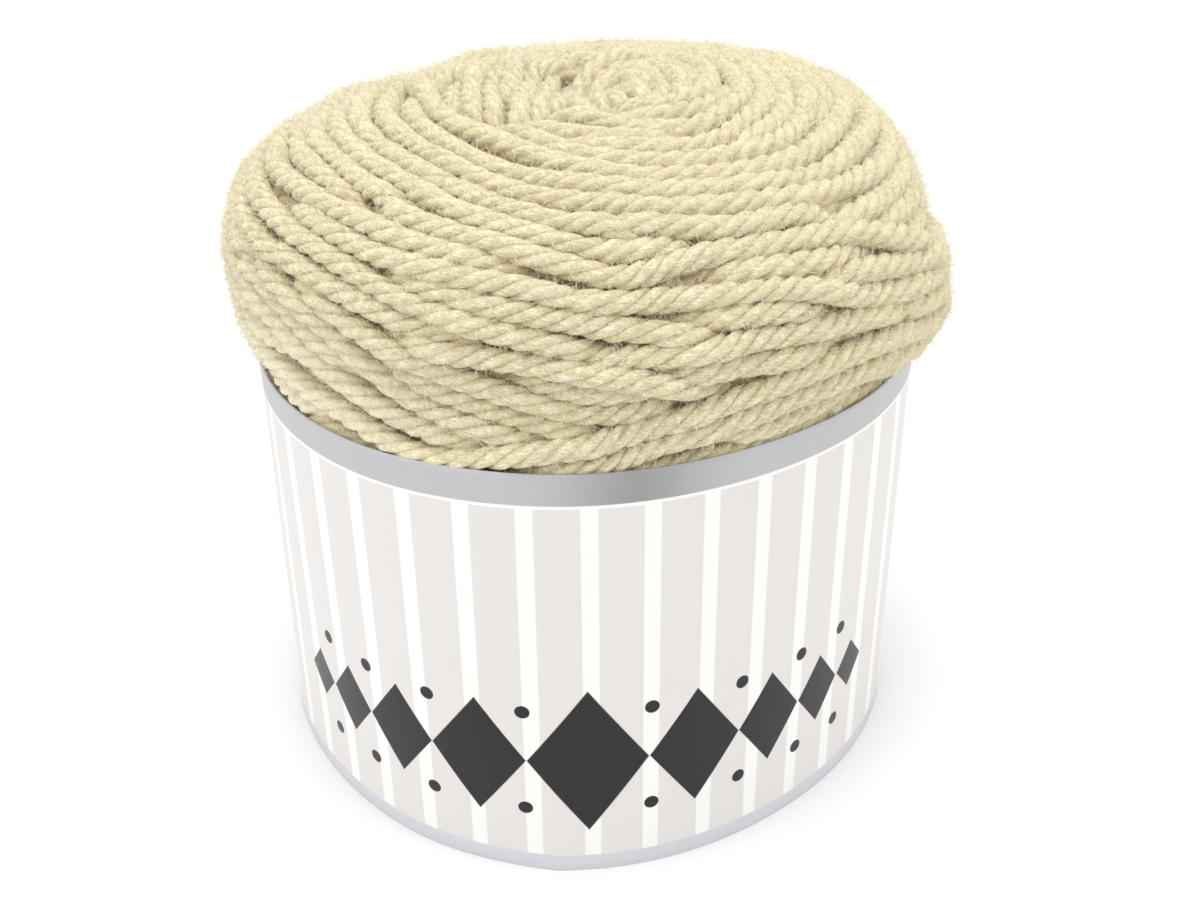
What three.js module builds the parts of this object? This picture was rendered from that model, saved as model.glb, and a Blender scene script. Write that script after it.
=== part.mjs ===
// A cake of thick plied yarn, wound round and fat, with a strip of label card wrapped round its
// lower two thirds. Millimetres, +Z up. The origin is the centre of the flat base, on the surface
// that the cake stands on. The card laps on itself at +Y, the back.

import * as THREE from "three";

// Band: a strip of card wrapped round the cake
const BAND_RADIUS = 53;
const BAND_HEIGHT = 69.5;
const BAND_THICKNESS = 1;
const LAP_STEPS = 3;
const LAP_ANGLE = Math.PI / 2;

// Wound yarn
const CAKE_HEIGHT = 108;
const CLEARANCE = 0.35;
const BASE_FLAT_RADIUS = 44;
const BASE_EDGE_HEIGHT = 7;
const LIP_RISE = 0.8;
const DIMPLE_RADIUS = 13;
const DIMPLE_DEPTH = 3;

// Belly, shoulder and dome, by the side of the cake that they are on
const BELLY_RADIUS = { mean: 54.3, sideways: 2.2, right: 1 };
const BELLY_HEIGHT = { mean: 77.5, right: -4 };
const SHOULDER_POWER = { mean: 2.9, right: -0.3 };
const LEAN = 0.03;

// The card and the yarn inside it are a little out of round, differently at top and bottom
const OUT_OF_ROUND = [
  { lobes: 2, topSwell: 0.29, topAngle: 1.19, baseSwell: 0.1, baseAngle: 0.94 },
  { lobes: 3, topSwell: 0.88, topAngle: 0.09, baseSwell: 0.46, baseAngle: 0.37 },
  { lobes: 4, topSwell: 0.11, topAngle: -0.14, baseSwell: 0.59, baseAngle: -0.14 },
];

// The main lays of the winding stand up as low crossing ridges
const LAYS = [
  { pitch: 9.5, turns: 2, height: 0.45 },
  { pitch: 13, turns: -3, height: 0.35 },
];

// Fineness of the solids
const STEPS_ROUND = 72;
const EDGE_ROWS = 4;
const WALL_ROWS = 6;
const BELLY_ROWS = 6;
const DOME_ROWS = 26;
const DIMPLE_ROWS = 5;

const INNER_RADIUS = BAND_RADIUS - BAND_THICKNESS;
const YARN_RADIUS = INNER_RADIUS - CLEARANCE;

// How far the wall stands out from a true circle at this angle and height
function swell(angle, z) {
  const up = THREE.MathUtils.clamp(z / BAND_HEIGHT, 0, 1);
  let out = 0;
  for (const row of OUT_OF_ROUND) {
    const top = row.topSwell * Math.cos(row.lobes * (angle - row.topAngle));
    const base = row.baseSwell * Math.cos(row.lobes * (angle - row.baseAngle));
    out += top * up + base * (1 - up);
  }
  return out;
}

// Height of the crossing ridges, at a distance along the profile and an angle round the cake
function layHeight(distance, angle) {
  let out = 0;
  for (const lay of LAYS) {
    out += lay.height * Math.cos((2 * Math.PI * distance) / lay.pitch + lay.turns * angle);
  }
  return out;
}

// A point of the belly: turn 0 is where the yarn comes out over the card, 1 is its widest ring
function bellyPoint(turn, angle) {
  const side = Math.cos(angle);
  const wide = BELLY_RADIUS.mean + BELLY_RADIUS.sideways * Math.cos(2 * angle) + BELLY_RADIUS.right * side;
  const start = new THREE.Vector2(YARN_RADIUS + swell(angle, BAND_HEIGHT), BAND_HEIGHT + LIP_RISE);
  const high = BELLY_HEIGHT.mean + BELLY_HEIGHT.right * side + LEAN * wide * side;
  const bend = Math.sin((turn * Math.PI) / 2);
  return new THREE.Vector2(
    start.x + (wide - start.x) * bend,
    start.y + (high - start.y) * turn,
  );
}

// A point of the shoulder and dome: turn 0 is the widest ring, 1 is the middle of the top
function domePoint(turn, angle) {
  const side = Math.cos(angle);
  const widest = bellyPoint(1, angle);
  const power = 2 / (SHOULDER_POWER.mean + SHOULDER_POWER.right * side);
  const bend = (turn * Math.PI) / 2;
  const foot = widest.y - LEAN * widest.x * side;
  const r = widest.x * Math.cos(bend) ** power;
  const z = foot + (CAKE_HEIGHT - foot) * Math.sin(bend) ** power;
  const sunk = 0.5 + 0.5 * Math.cos(Math.PI * Math.min(1, r / DIMPLE_RADIUS));
  return new THREE.Vector2(r, z + LEAN * r * side - DIMPLE_DEPTH * sunk);
}

// The cake's profile as rows, each giving a point for any angle
function cakeRows() {
  const rows = [() => new THREE.Vector2(0, 0)];
  rows.push(() => new THREE.Vector2(BASE_FLAT_RADIUS, 0));
  for (let i = 1; i <= EDGE_ROWS; i += 1) {
    const bend = (i / EDGE_ROWS) * (Math.PI / 2);
    const z = BASE_EDGE_HEIGHT * (1 - Math.cos(bend));
    const reach = Math.sin(bend);
    rows.push((angle) => {
      const wall = YARN_RADIUS + swell(angle, z);
      return new THREE.Vector2(BASE_FLAT_RADIUS + (wall - BASE_FLAT_RADIUS) * reach, z);
    });
  }
  for (let i = 1; i <= WALL_ROWS; i += 1) {
    const z = BASE_EDGE_HEIGHT + ((BAND_HEIGHT - BASE_EDGE_HEIGHT) * i) / WALL_ROWS;
    rows.push((angle) => new THREE.Vector2(YARN_RADIUS + swell(angle, z), z));
  }
  for (let i = 0; i <= BELLY_ROWS; i += 1) {
    rows.push((angle) => bellyPoint(i / BELLY_ROWS, angle));
  }
  // Rows of the dome are spaced by arc length at the front, so that they lie evenly
  const even = evenTurns(DOME_ROWS);
  for (const turn of even) {
    rows.push((angle) => domePoint(turn, angle));
  }
  return rows;
}

// Turns from the widest ring to the middle that lie at even distances along the dome
function evenTurns(count) {
  const fine = 400;
  const along = [0];
  let last = domePoint(0, 0);
  for (let i = 1; i <= fine; i += 1) {
    const next = domePoint(i / fine, 0);
    along.push(along[i - 1] + last.distanceTo(next));
    last = next;
  }
  const turns = [];
  for (let k = 1; k <= count; k += 1) {
    const want = (along[fine] * k) / count;
    const i = along.findIndex((d) => d >= want - 1e-9);
    turns.push(i / fine);
  }
  return turns;
}

// The wound yarn: a revolved profile, then every vertex is set to its own side's shape
function woundCake() {
  const rows = cakeRows();
  const lathe = new THREE.LatheGeometry(rows.map((row) => row(0)), STEPS_ROUND);
  lathe.rotateX(Math.PI / 2);
  const place = lathe.getAttribute("position");
  const firstRidged = 2 + EDGE_ROWS + WALL_ROWS + 2;
  for (let step = 0; step <= STEPS_ROUND; step += 1) {
    const angle = ((step % STEPS_ROUND) / STEPS_ROUND) * 2 * Math.PI;
    const ring = rows.map((row) => row(angle));
    let distance = 0;
    for (let i = 0; i < rows.length; i += 1) {
      const point = ring[i];
      if (i > 0) distance += ring[i - 1].distanceTo(point);
      let out = new THREE.Vector2(0, 0);
      if (i >= firstRidged && i < rows.length - 1) {
        const along = ring[i + 1].clone().sub(ring[i - 1]).normalize();
        out = new THREE.Vector2(along.y, -along.x);
        out.multiplyScalar(layHeight(distance, angle) * Math.min(1, point.x / DIMPLE_RADIUS));
      }
      const r = i === 0 || i === rows.length - 1 ? 0 : point.x + out.x;
      const z = point.y + out.y;
      place.setXYZ(step * rows.length + i, r * Math.cos(angle), r * Math.sin(angle), z);
    }
  }
  return lathe;
}

// A ring of outline points of one radius, with the lap's extra thickness where it lies
function bandOutline() {
  const points = [];
  const lapFirst = Math.round((LAP_ANGLE / (2 * Math.PI)) * STEPS_ROUND);
  for (let step = 0; step < STEPS_ROUND; step += 1) {
    const angle = (step / STEPS_ROUND) * 2 * Math.PI;
    const inLap = step >= lapFirst && step <= lapFirst + LAP_STEPS;
    const radii = [inLap ? BAND_RADIUS + BAND_THICKNESS : BAND_RADIUS];
    if (step === lapFirst) radii.unshift(BAND_RADIUS);
    if (step === lapFirst + LAP_STEPS) radii.push(BAND_RADIUS);
    for (const r of radii) {
      points.push(new THREE.Vector2(r * Math.cos(angle), r * Math.sin(angle)));
    }
  }
  return points;
}

// The strip of label card, closed by its lap at the back
function labelBand() {
  const outline = new THREE.Shape(bandOutline());
  const inside = [];
  for (let step = 0; step < STEPS_ROUND; step += 1) {
    const angle = (step / STEPS_ROUND) * 2 * Math.PI;
    inside.push(new THREE.Vector2(INNER_RADIUS * Math.cos(angle), INNER_RADIUS * Math.sin(angle)));
  }
  outline.holes.push(new THREE.Path(inside));
  const strip = new THREE.ExtrudeGeometry(outline, { depth: BAND_HEIGHT, bevelEnabled: false });
  const place = strip.getAttribute("position");
  for (let i = 0; i < place.count; i += 1) {
    const angle = Math.atan2(place.getY(i), place.getX(i));
    const r = Math.hypot(place.getX(i), place.getY(i)) + swell(angle, place.getZ(i));
    place.setXY(i, r * Math.cos(angle), r * Math.sin(angle));
  }
  return strip;
}

const yarn = new THREE.Mesh(
  woundCake(),
  new THREE.MeshStandardMaterial({ color: 0xd9cfae, roughness: 0.95, metalness: 0 }),
);
yarn.name = "yarn_cake";

const band = new THREE.Mesh(
  labelBand(),
  new THREE.MeshStandardMaterial({ color: 0xf2efec, roughness: 0.5, metalness: 0 }),
);
band.name = "label_band";

const cake = new THREE.Group();
cake.add(yarn, band);

export default cake;
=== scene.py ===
"""A round cake of thick plied yarn with a card label round its lower part."""

import math

import bpy
import numpy as np
from mathutils import Matrix, Vector
from mathutils.kdtree import KDTree


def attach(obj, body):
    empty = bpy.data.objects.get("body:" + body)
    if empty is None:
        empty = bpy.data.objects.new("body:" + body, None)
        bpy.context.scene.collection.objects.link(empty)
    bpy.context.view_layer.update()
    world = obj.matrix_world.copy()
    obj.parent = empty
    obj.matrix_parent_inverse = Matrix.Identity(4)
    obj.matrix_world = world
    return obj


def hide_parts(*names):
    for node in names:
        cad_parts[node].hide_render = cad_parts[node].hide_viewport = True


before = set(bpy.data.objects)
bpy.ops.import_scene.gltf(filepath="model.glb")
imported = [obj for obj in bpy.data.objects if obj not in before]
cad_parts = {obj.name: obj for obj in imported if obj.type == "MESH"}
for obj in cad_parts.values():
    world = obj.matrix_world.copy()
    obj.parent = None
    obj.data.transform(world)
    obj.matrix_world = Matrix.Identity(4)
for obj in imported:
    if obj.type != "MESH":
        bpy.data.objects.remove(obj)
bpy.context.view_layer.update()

MM = 0.001
TAU = 2 * math.pi

# Sizes, in mm
CAKE_HEIGHT = 108.0
BAND_RADIUS = 53.0
BAND_HEIGHT = 69.5
LAP_LENGTH = 13.9
CARD_THICKNESS = 0.35
YARN_RADIUS = 51.65
LIP_RISE = 0.8
DIMPLE_RADIUS = 13.0
DIMPLE_DEPTH = 3.0
BELLY_RADIUS = {"mean": 54.3, "sideways": 2.2, "right": 1.0}
BELLY_HEIGHT = {"mean": 77.5, "right": -4.0}
SHOULDER_POWER = {"mean": 2.9, "right": -0.3}
LEAN = 0.03
# how far out of round the card is: lobes, swell and its angle at the top, swell and its angle at the base
OUT_OF_ROUND = [
    (2, 0.29, 1.19, 0.10, 0.94),
    (3, 0.88, 0.09, 0.46, 0.37),
    (4, 0.11, -0.14, 0.59, -0.14),
]

STRAND_RADIUS = 1.78
STRAND_SPACING = 2.95
PLIES = 4
PLY_PITCH = 12.8
TWIST_SIGN = -1.0
FACE_DEPTH = 1.75
BED_DEPTH = 4.2
COURSE_TOP = 84.0

# Picture, in its own points
PICTURE_WIDTH = 1200
PICTURE_HEIGHT = 900
FOCAL_POINTS = 1432.8
CAMERA_RISE = math.radians(30.956)
CAMERA_YAW = math.radians(0.634)
CAMERA_PITCH = math.radians(2.435)
CAMERA_ROLL = math.radians(-0.83)
CAMERA_DISTANCE = 4.78 * BAND_RADIUS
AIM_HEIGHT = 0.6 * BAND_RADIUS


def unit(v):
    return v / np.linalg.norm(v)


def turned(a, b, angle):
    """Two directions turned in their own plane, the first towards the second."""
    return a * math.cos(angle) + b * math.sin(angle), b * math.cos(angle) - a * math.sin(angle)


def camera_axes():
    """Place of the camera in mm, and its right, up and forward directions."""
    aim = np.array([0.0, 0.0, AIM_HEIGHT])
    place = aim + CAMERA_DISTANCE * np.array([0, -math.cos(CAMERA_RISE), math.sin(CAMERA_RISE)])
    forward = unit(aim - place)
    right = np.array([1.0, 0, 0])
    up = np.cross(right, forward)
    forward, right = turned(forward, right, CAMERA_YAW)
    forward, up = turned(forward, up, CAMERA_PITCH)
    right, up = turned(right, up, CAMERA_ROLL)
    return place, right, up, forward


# The form of the cake
def card_swell(angle, height):
    up = np.clip(height / BAND_HEIGHT, 0, 1)
    total = 0.0
    for lobes, top, top_angle, base, base_angle in OUT_OF_ROUND:
        total = total + top * np.cos(lobes * (angle - top_angle)) * up
        total = total + base * np.cos(lobes * (angle - base_angle)) * (1 - up)
    return total


def belly_point(turn, angle):
    side = np.cos(angle)
    wide = BELLY_RADIUS["mean"] + BELLY_RADIUS["sideways"] * np.cos(2 * angle)
    wide = wide + BELLY_RADIUS["right"] * side
    start_r = YARN_RADIUS + card_swell(angle, BAND_HEIGHT)
    start_z = BAND_HEIGHT + LIP_RISE
    high = BELLY_HEIGHT["mean"] + BELLY_HEIGHT["right"] * side + LEAN * wide * side
    bend = np.sin(turn * np.pi / 2)
    return start_r + (wide - start_r) * bend, start_z + (high - start_z) * turn


def dome_point(turn, angle):
    side = np.cos(angle)
    wide_r, wide_z = belly_point(1.0, angle)
    power = 2 / (SHOULDER_POWER["mean"] + SHOULDER_POWER["right"] * side)
    bend = turn * np.pi / 2
    foot = wide_z - LEAN * wide_r * side
    r = wide_r * np.maximum(np.cos(bend), 0) ** power
    z = foot + (CAKE_HEIGHT - foot) * np.sin(bend) ** power
    sunk = 0.5 + 0.5 * np.cos(np.pi * np.minimum(1, r / DIMPLE_RADIUS))
    return r, z + LEAN * r * side - DIMPLE_DEPTH * sunk


# Places where the winding stands prouder or flatter than the even form: angle in degrees, course, how
# much, and the spread of each. All but the angles are in mm.
LUMPS = [
    (25, 42, 2.5, 28, 13),
    (75, 52, 0.7, 25, 12),
    (-38, 2.5, -1.2, 14, 4),
    (162, 36, -0.5, 14, 9),
    (-5, 22, -2.4, 9, 6),
    (-18, 9, 1.3, 11, 6),
    (140, 44, -0.7, 15, 8),
]
RIM_PUFF = {"size": 0.7, "course": 3.5, "tall": 2.6}


def puff(angle, course):
    total = RIM_PUFF["size"] * np.exp(-(((course - RIM_PUFF["course"]) / RIM_PUFF["tall"]) ** 2)) + 0 * angle
    for at, height, size, wide, tall in LUMPS:
        off = np.degrees(np.angle(np.exp(1j * (angle - math.radians(at)))))
        total = total + size * np.exp(-0.5 * (off / wide) ** 2 - 0.5 * ((course - height) / tall) ** 2)
    return total * (course > -0.5)


class Form:
    """The outer face of the yarn above and just inside the card, by angle and by course.

    Course is the way along the profile in mm: 0 at the card's top edge, COURSE_TOP at the top's middle.
    """

    angle_step = math.radians(2)
    course_start = -16.0
    course_step = 0.5
    heart = np.array([0.0, 0.0, 50.0])
    rise_step = math.radians(0.75)
    wall_rows, belly_rows, dome_rows = 12, 24, 140
    least_radius = 3.0

    def __init__(self):
        self.n_angle = int(round(TAU / self.angle_step))
        angle = (np.arange(self.n_angle) * self.angle_step)[:, None]
        wall_z = np.linspace(BAND_HEIGHT + self.course_start, BAND_HEIGHT, self.wall_rows)[None, :]
        wall_r = YARN_RADIUS + card_swell(angle, wall_z)
        br, bz = belly_point(np.linspace(0, 1, self.belly_rows)[None, :], angle)
        dr, dz = dome_point(np.linspace(0, 1, self.dome_rows)[None, 1:], angle)
        ones = np.ones_like(angle)
        r = np.concatenate([wall_r, br * ones, dr * ones], 1)
        z = np.concatenate([wall_z * ones, bz * ones, dz * ones], 1)
        length = np.concatenate([0 * ones, np.cumsum(np.hypot(np.diff(r), np.diff(z)), 1)], 1)
        length = length - length[:, self.wall_rows - 1 : self.wall_rows]
        scale = COURSE_TOP / length[:, -1:]
        course = np.where(length > 0, length * scale, length)
        n_course = int(round((COURSE_TOP - self.course_start) / self.course_step)) + 1
        grid = self.course_start + np.arange(n_course) * self.course_step
        self.n_course = n_course
        table_r = np.stack([np.interp(grid, course[i], r[i]) for i in range(self.n_angle)])
        table_z = np.stack([np.interp(grid, course[i], z[i]) for i in range(self.n_angle)])
        along = np.gradient(np.stack([table_r, table_z], 2), axis=1)
        along /= np.linalg.norm(along, axis=2, keepdims=True) + 1e-9
        lumps = puff(angle, grid[None, :])
        table_r = np.maximum(table_r + along[..., 1] * lumps, 0)
        table_z = table_z - along[..., 0] * lumps
        self.radius = table_r
        along = np.gradient(np.stack([table_r, table_z], 2), axis=1)
        round_r = (np.roll(table_r, -1, 0) - np.roll(table_r, 1, 0)) / (2 * self.angle_step)
        round_z = (np.roll(table_z, -1, 0) - np.roll(table_z, 1, 0)) / (2 * self.angle_step)
        c, s = np.cos(angle), np.sin(angle)
        safe = np.maximum(table_r, self.least_radius)
        t1 = np.stack([round_r / safe * c - s, round_r / safe * s + c, round_z / safe], 2)
        t2 = np.stack([along[..., 0] * c, along[..., 0] * s, along[..., 1]], 2)
        normal = np.cross(t1, t2)
        normal /= np.linalg.norm(normal, axis=2, keepdims=True)
        self.face = np.stack([table_r * c, table_r * s, table_z], 2)
        self.normal = normal
        # the same by the rise of the line from the heart, for points off the face
        rise_grid = np.arange(0, math.pi / 2 + 1e-9, self.rise_step)
        self.n_rise = len(rise_grid)
        rows = []
        for i in range(self.n_angle):
            above = table_z[i] - self.heart[2]
            rise = np.arctan2(above, table_r[i])
            far = np.hypot(above, table_r[i])
            order = np.argsort(rise)
            row = [np.interp(rise_grid, rise[order], v[order]) for v in (far, grid, *normal[i].T)]
            rows.append(np.stack(row, 1))
        self.polar = np.stack(rows)

    def _mix(self, table, u, v):
        n = table.shape[1]
        u = u % self.n_angle
        i0 = np.floor(u).astype(int) % self.n_angle
        i1 = (i0 + 1) % self.n_angle
        fu = (u - np.floor(u))[:, None]
        v = np.clip(v, 0, n - 1.0001)
        j = np.floor(v).astype(int)
        fv = (v - j)[:, None]
        low = table[i0, j] * (1 - fv) + table[i0, j + 1] * fv
        high = table[i1, j] * (1 - fv) + table[i1, j + 1] * fv
        return low * (1 - fu) + high * fu

    def place(self, angle, course, depth):
        u = np.asarray(angle) / self.angle_step
        v = (np.asarray(course) - self.course_start) / self.course_step
        both = self._mix(np.concatenate([self.face, self.normal], 2), u, v)
        return both[:, :3] - both[:, 3:] * np.asarray(depth)[..., None], both[:, 3:]

    def below(self, points):
        """How deep points lie under the face, the face's outward direction and the course there."""
        q = points - self.heart
        r = np.hypot(q[:, 0], q[:, 1])
        far = np.hypot(r, q[:, 2]) + 1e-9
        u = np.arctan2(q[:, 1], q[:, 0]) / self.angle_step
        v = np.arctan2(q[:, 2], r) / self.rise_step
        found = self._mix(self.polar, u, v)
        normal = found[:, 2:]
        normal /= np.linalg.norm(normal, axis=1, keepdims=True)
        depth = (found[:, 0] - far) * np.abs((normal * q).sum(1) / far)
        return depth, normal, found[:, 1]


form = Form()
eye, eye_right, eye_up, eye_forward = camera_axes()


# Winding
# Courses of the strands that show, in picture points, each with what its two ends do: "under" tucks in
# beneath its neighbours, "dip" does so within a shorter way, and a number runs on round the cake by so
# many degrees first.
SIDE_COURSES = [
    ("under", [(600, 476), (640, 468), (680, 457), (720, 445), (760, 432), (800, 417), (840, 400),
               (870, 385), (895, 369), (912, 352)], 60),
    ("under", [(530, 470), (575, 466), (620, 455), (660, 444), (700, 434), (740, 419), (780, 404),
               (820, 388), (860, 371), (890, 355)], "under"),
    (70, [(250, 318), (262, 335), (275, 352), (290, 370), (305, 385), (322, 398), (345, 410),
          (367, 423), (390, 436), (410, 446), (435, 454), (465, 456), (500, 453), (540, 450),
          (580, 446), (620, 434), (660, 423), (700, 411), (740, 397), (780, 383), (820, 366),
          (860, 349), (895, 335), (920, 325), (940, 308)], 90),
    (30, [(272, 372), (285, 390), (300, 405), (320, 417), (345, 427), (365, 438), (385, 449)], "under"),
    (60, [(238, 265), (250, 280), (262, 297), (275, 313), (290, 330), (305, 345), (320, 359),
          (337, 373), (357, 389), (385, 406), (410, 420), (440, 432), (470, 440)], "under"),
    ("under", [(262, 255), (285, 282), (305, 303), (322, 322), (340, 340), (357, 356), (378, 372),
               (395, 386), (415, 398), (437, 409), (460, 419), (485, 427), (505, 432), (530, 440)],
     "under"),
    ("under", [(395, 362), (410, 371), (435, 384), (460, 397), (480, 405), (505, 414), (530, 421),
               (560, 428), (590, 436)], "under"),
    ("under", [(300, 288), (320, 306), (345, 323), (368, 335), (388, 346), (410, 357), (435, 368),
               (460, 378), (485, 386), (510, 394), (540, 401), (565, 409), (600, 412), (640, 409),
               (662, 403)], "under"),
    ("under", [(535, 386), (570, 391), (600, 395), (635, 392), (660, 388)], "under"),
    ("under", [(395, 336), (420, 343), (440, 349), (460, 352), (480, 354), (500, 358), (520, 363),
               (545, 367), (575, 370), (600, 374), (640, 380), (680, 388), (710, 392)], "under"),
    ("under", [(280, 248), (297, 264), (315, 276), (335, 288), (355, 297), (378, 305), (400, 315),
               (420, 322), (440, 330), (465, 334)], "under"),
    (100, [(238, 168), (252, 185), (268, 203), (285, 220), (305, 234), (325, 247), (345, 261),
           (365, 275), (388, 289), (410, 299), (430, 305), (450, 311), (475, 318), (500, 326),
           (520, 333), (545, 341), (570, 346), (600, 352)], "under"),
    ("under", [(400, 281), (420, 288), (445, 296), (470, 303), (500, 309), (540, 315), (575, 320),
               (605, 325), (640, 332), (675, 336), (710, 342)], "under"),
    ("under", [(300, 210), (325, 225), (345, 237), (365, 249), (385, 257), (400, 262), (425, 268),
               (450, 274), (480, 279), (510, 284), (535, 289), (560, 296), (585, 303)], "under"),
    (80, [(250, 150), (268, 164), (285, 177), (305, 190), (325, 203), (345, 214), (365, 224),
          (390, 237), (420, 250), (450, 260), (480, 265), (508, 271)], "under"),
    ("under", [(385, 216), (405, 227), (425, 236), (445, 243), (460, 249), (485, 254), (510, 258),
               (540, 263), (565, 268), (590, 277), (612, 285), (640, 280), (665, 268), (690, 260),
               (715, 254), (740, 251), (765, 247), (790, 242), (815, 237), (840, 235), (865, 238),
               (890, 243), (918, 250)], 70),
    (60, [(280, 120), (300, 135), (320, 150), (337, 165), (352, 180), (370, 193), (390, 203),
          (405, 209)], "under"),
    (40, [(325, 118), (345, 140), (365, 158), (385, 172), (408, 184), (430, 197), (450, 208),
          (470, 218), (495, 227), (520, 235), (545, 243), (575, 248), (600, 253), (625, 256),
          (650, 250), (672, 245)], "under"),
    (50, [(228, 190), (240, 207), (252, 224), (263, 240), (275, 253), (290, 266)], "under"),
    ("under", [(585, 364), (610, 357), (640, 353), (670, 353), (700, 350), (720, 343), (745, 337),
               (775, 333), (805, 328), (835, 321), (865, 316), (895, 310)], "under"),
    ("under", [(660, 376), (690, 371), (720, 366), (745, 363), (775, 360), (800, 356), (818, 350)],
     "under"),
    ("under", [(560, 304), (590, 308), (620, 306), (650, 303), (680, 301), (700, 299), (740, 294),
               (780, 289), (810, 290), (840, 294), (870, 296), (895, 292), (920, 280), (938, 262)], 60),
    ("under", [(725, 276), (755, 272), (785, 268), (810, 266), (830, 261), (850, 254)], "under"),
    ("under", [(820, 285), (840, 275), (860, 270), (885, 266), (910, 262), (932, 255)], 90),
    (40, [(343, 108), (357, 130), (376, 148), (400, 164), (425, 178), (440, 188), (470, 200),
          (500, 212), (530, 220), (560, 226), (590, 229), (620, 236), (645, 243)], "under"),
    ("under", [(600, 226), (640, 230), (680, 228), (710, 232), (735, 230), (760, 220), (785, 214),
               (810, 211)], "under"),
]
TOP_COURSES = [
    (50, [(372, 104), (385, 122), (405, 140), (430, 157), (460, 172), (490, 186), (525, 197),
          (560, 203), (600, 206), (640, 209), (680, 208), (720, 205), (760, 202), (790, 198),
          (820, 194), (845, 188), (870, 176), (892, 160)], 50),
    (60, [(396, 98), (410, 118), (430, 137), (455, 151), (490, 168), (530, 181), (575, 190),
          (630, 193), (700, 194), (740, 192), (780, 189), (815, 181), (840, 165), (855, 147),
          (866, 130)], 60),
    (40, [(425, 95), (438, 115), (460, 130), (490, 140), (520, 150), (545, 160), (580, 172),
          (620, 178), (660, 180), (700, 178), (750, 173), (785, 165), (812, 150), (828, 135),
          (838, 120)], 80),
    ("under", [(505, 130), (530, 143), (550, 155), (585, 164), (640, 167), (690, 163), (730, 157),
               (765, 147), (790, 133), (805, 118)], 70),
    ("under", [(560, 146), (585, 153), (620, 154), (650, 153), (690, 151), (715, 145), (740, 132),
               (758, 118), (768, 104)], 50),
    ("under", [(530, 127), (550, 135), (575, 140), (600, 142), (640, 142), (665, 139)], "under"),
    ("under", [(552, 120), (575, 127), (605, 129), (640, 130), (675, 134), (700, 129), (720, 117),
               (738, 103)], 60),
    ("under", [(612, 113), (640, 114), (665, 113), (687, 108), (702, 99), (710, 88), (708, 78)], 60),
    (70, [(490, 56), (474, 65), (463, 78), (458, 94), (458, 106), (460, 118)], "dip"),
    (60, [(500, 58), (487, 68), (479, 82), (474, 98), (474, 110), (477, 122)], "dip"),
    (60, [(510, 58), (502, 68), (496, 82), (491, 98), (490, 110), (492, 122)], "dip"),
    (50, [(528, 54), (516, 64), (508, 76), (505, 90), (504, 102)], "dip"),
    (50, [(560, 56), (540, 66), (529, 80), (524, 96), (523, 110), (525, 124)], "dip"),
    (60, [(592, 56), (570, 62), (552, 73), (543, 88), (540, 104), (542, 122)], "dip"),
    ("dip", [(549, 114), (550, 102), (556, 93), (565, 91), (572, 96)], "dip"),
    ("dip", [(588, 124), (577, 113), (573, 99), (582, 84), (602, 71), (626, 66), (650, 69),
             (669, 79), (680, 92), (680, 104)], "under"),
    ("dip", [(600, 116), (596, 103), (605, 90), (623, 81), (642, 82), (655, 90)], "dip"),
    ("dip", [(616, 112), (616, 102), (626, 95), (638, 98), (643, 106)], "dip"),
]
# A sight line meets the face between these distances from the cake's middle, and only where the face
# turns to the camera by at least this share
SIGHT_BEFORE, SIGHT_BEYOND, SIGHT_STEPS = 80, 60, 701
FACING_LEAST = 0.2


def lay_on_face(points):
    """Points moved onto the face along its outward direction."""
    deep, normal, _ = form.below(points)
    return points + normal * deep[:, None]


def turns_of(points):
    """Angle round the cake and course of points near the face."""
    _, _, course = form.below(points)
    return np.unwrap(np.arctan2(points[:, 1], points[:, 0])), course


def seen_on_face(points):
    """Where the sight lines through picture points meet a strand lying in the face."""
    p = np.array(points, float)
    ray = (
        eye_forward[None, :]
        + (p[:, :1] - PICTURE_WIDTH / 2) / FOCAL_POINTS * eye_right
        - (p[:, 1:] - PICTURE_HEIGHT / 2) / FOCAL_POINTS * eye_up
    )
    ray /= np.linalg.norm(ray, axis=1, keepdims=True)
    reach = np.linspace(CAMERA_DISTANCE - SIGHT_BEFORE, CAMERA_DISTANCE + SIGHT_BEYOND, SIGHT_STEPS)
    out = []
    for d in ray:
        line = eye + reach[:, None] * d
        deep, normal, _ = form.below(line)
        inside = np.nonzero((deep >= FACE_DEPTH) & (line[:, 2] >= form.heart[2]))[0]
        if len(inside) and -(normal[inside[0]] * d).sum() > FACING_LEAST:
            out.append(line[inside[0]])
    return lay_on_face(np.array(out))


def resample(path, step):
    """A polyline with points a step apart, all its columns carried along by their place in 3-D."""
    xyz = path[:, :3]
    length = np.concatenate([[0], np.cumsum(np.linalg.norm(np.diff(xyz, axis=0), axis=1))])
    n = max(3, int(round(length[-1] / step)) + 1)
    at = np.linspace(0, length[-1], n)
    return np.stack([np.interp(at, length, path[:, k]) for k in range(path.shape[1])], 1)


def smooth_line(values, times):
    v = values.copy()
    for _ in range(times):
        v[1:-1] = v[1:-1] * 0.5 + (v[:-2] + v[2:]) * 0.25
    return v


RING_CLIMB = 6.0
RUN_STEP = 3
RUN_LOOK_BACK = 12
RUN_STEEPEST = 25
RUN_FADE = 0.4
RUN_LOWEST, RUN_HIGHEST = -9, 76


def ring_slope(angle, course, lean):
    """How a lay climbs, in mm a radian: low at the front, high at the back, less so on the top."""
    most = RING_CLIMB * np.clip(1.15 - course / 70, 0.1, 1)
    return (most + lean) * np.sin(angle + math.pi / 2)


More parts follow.
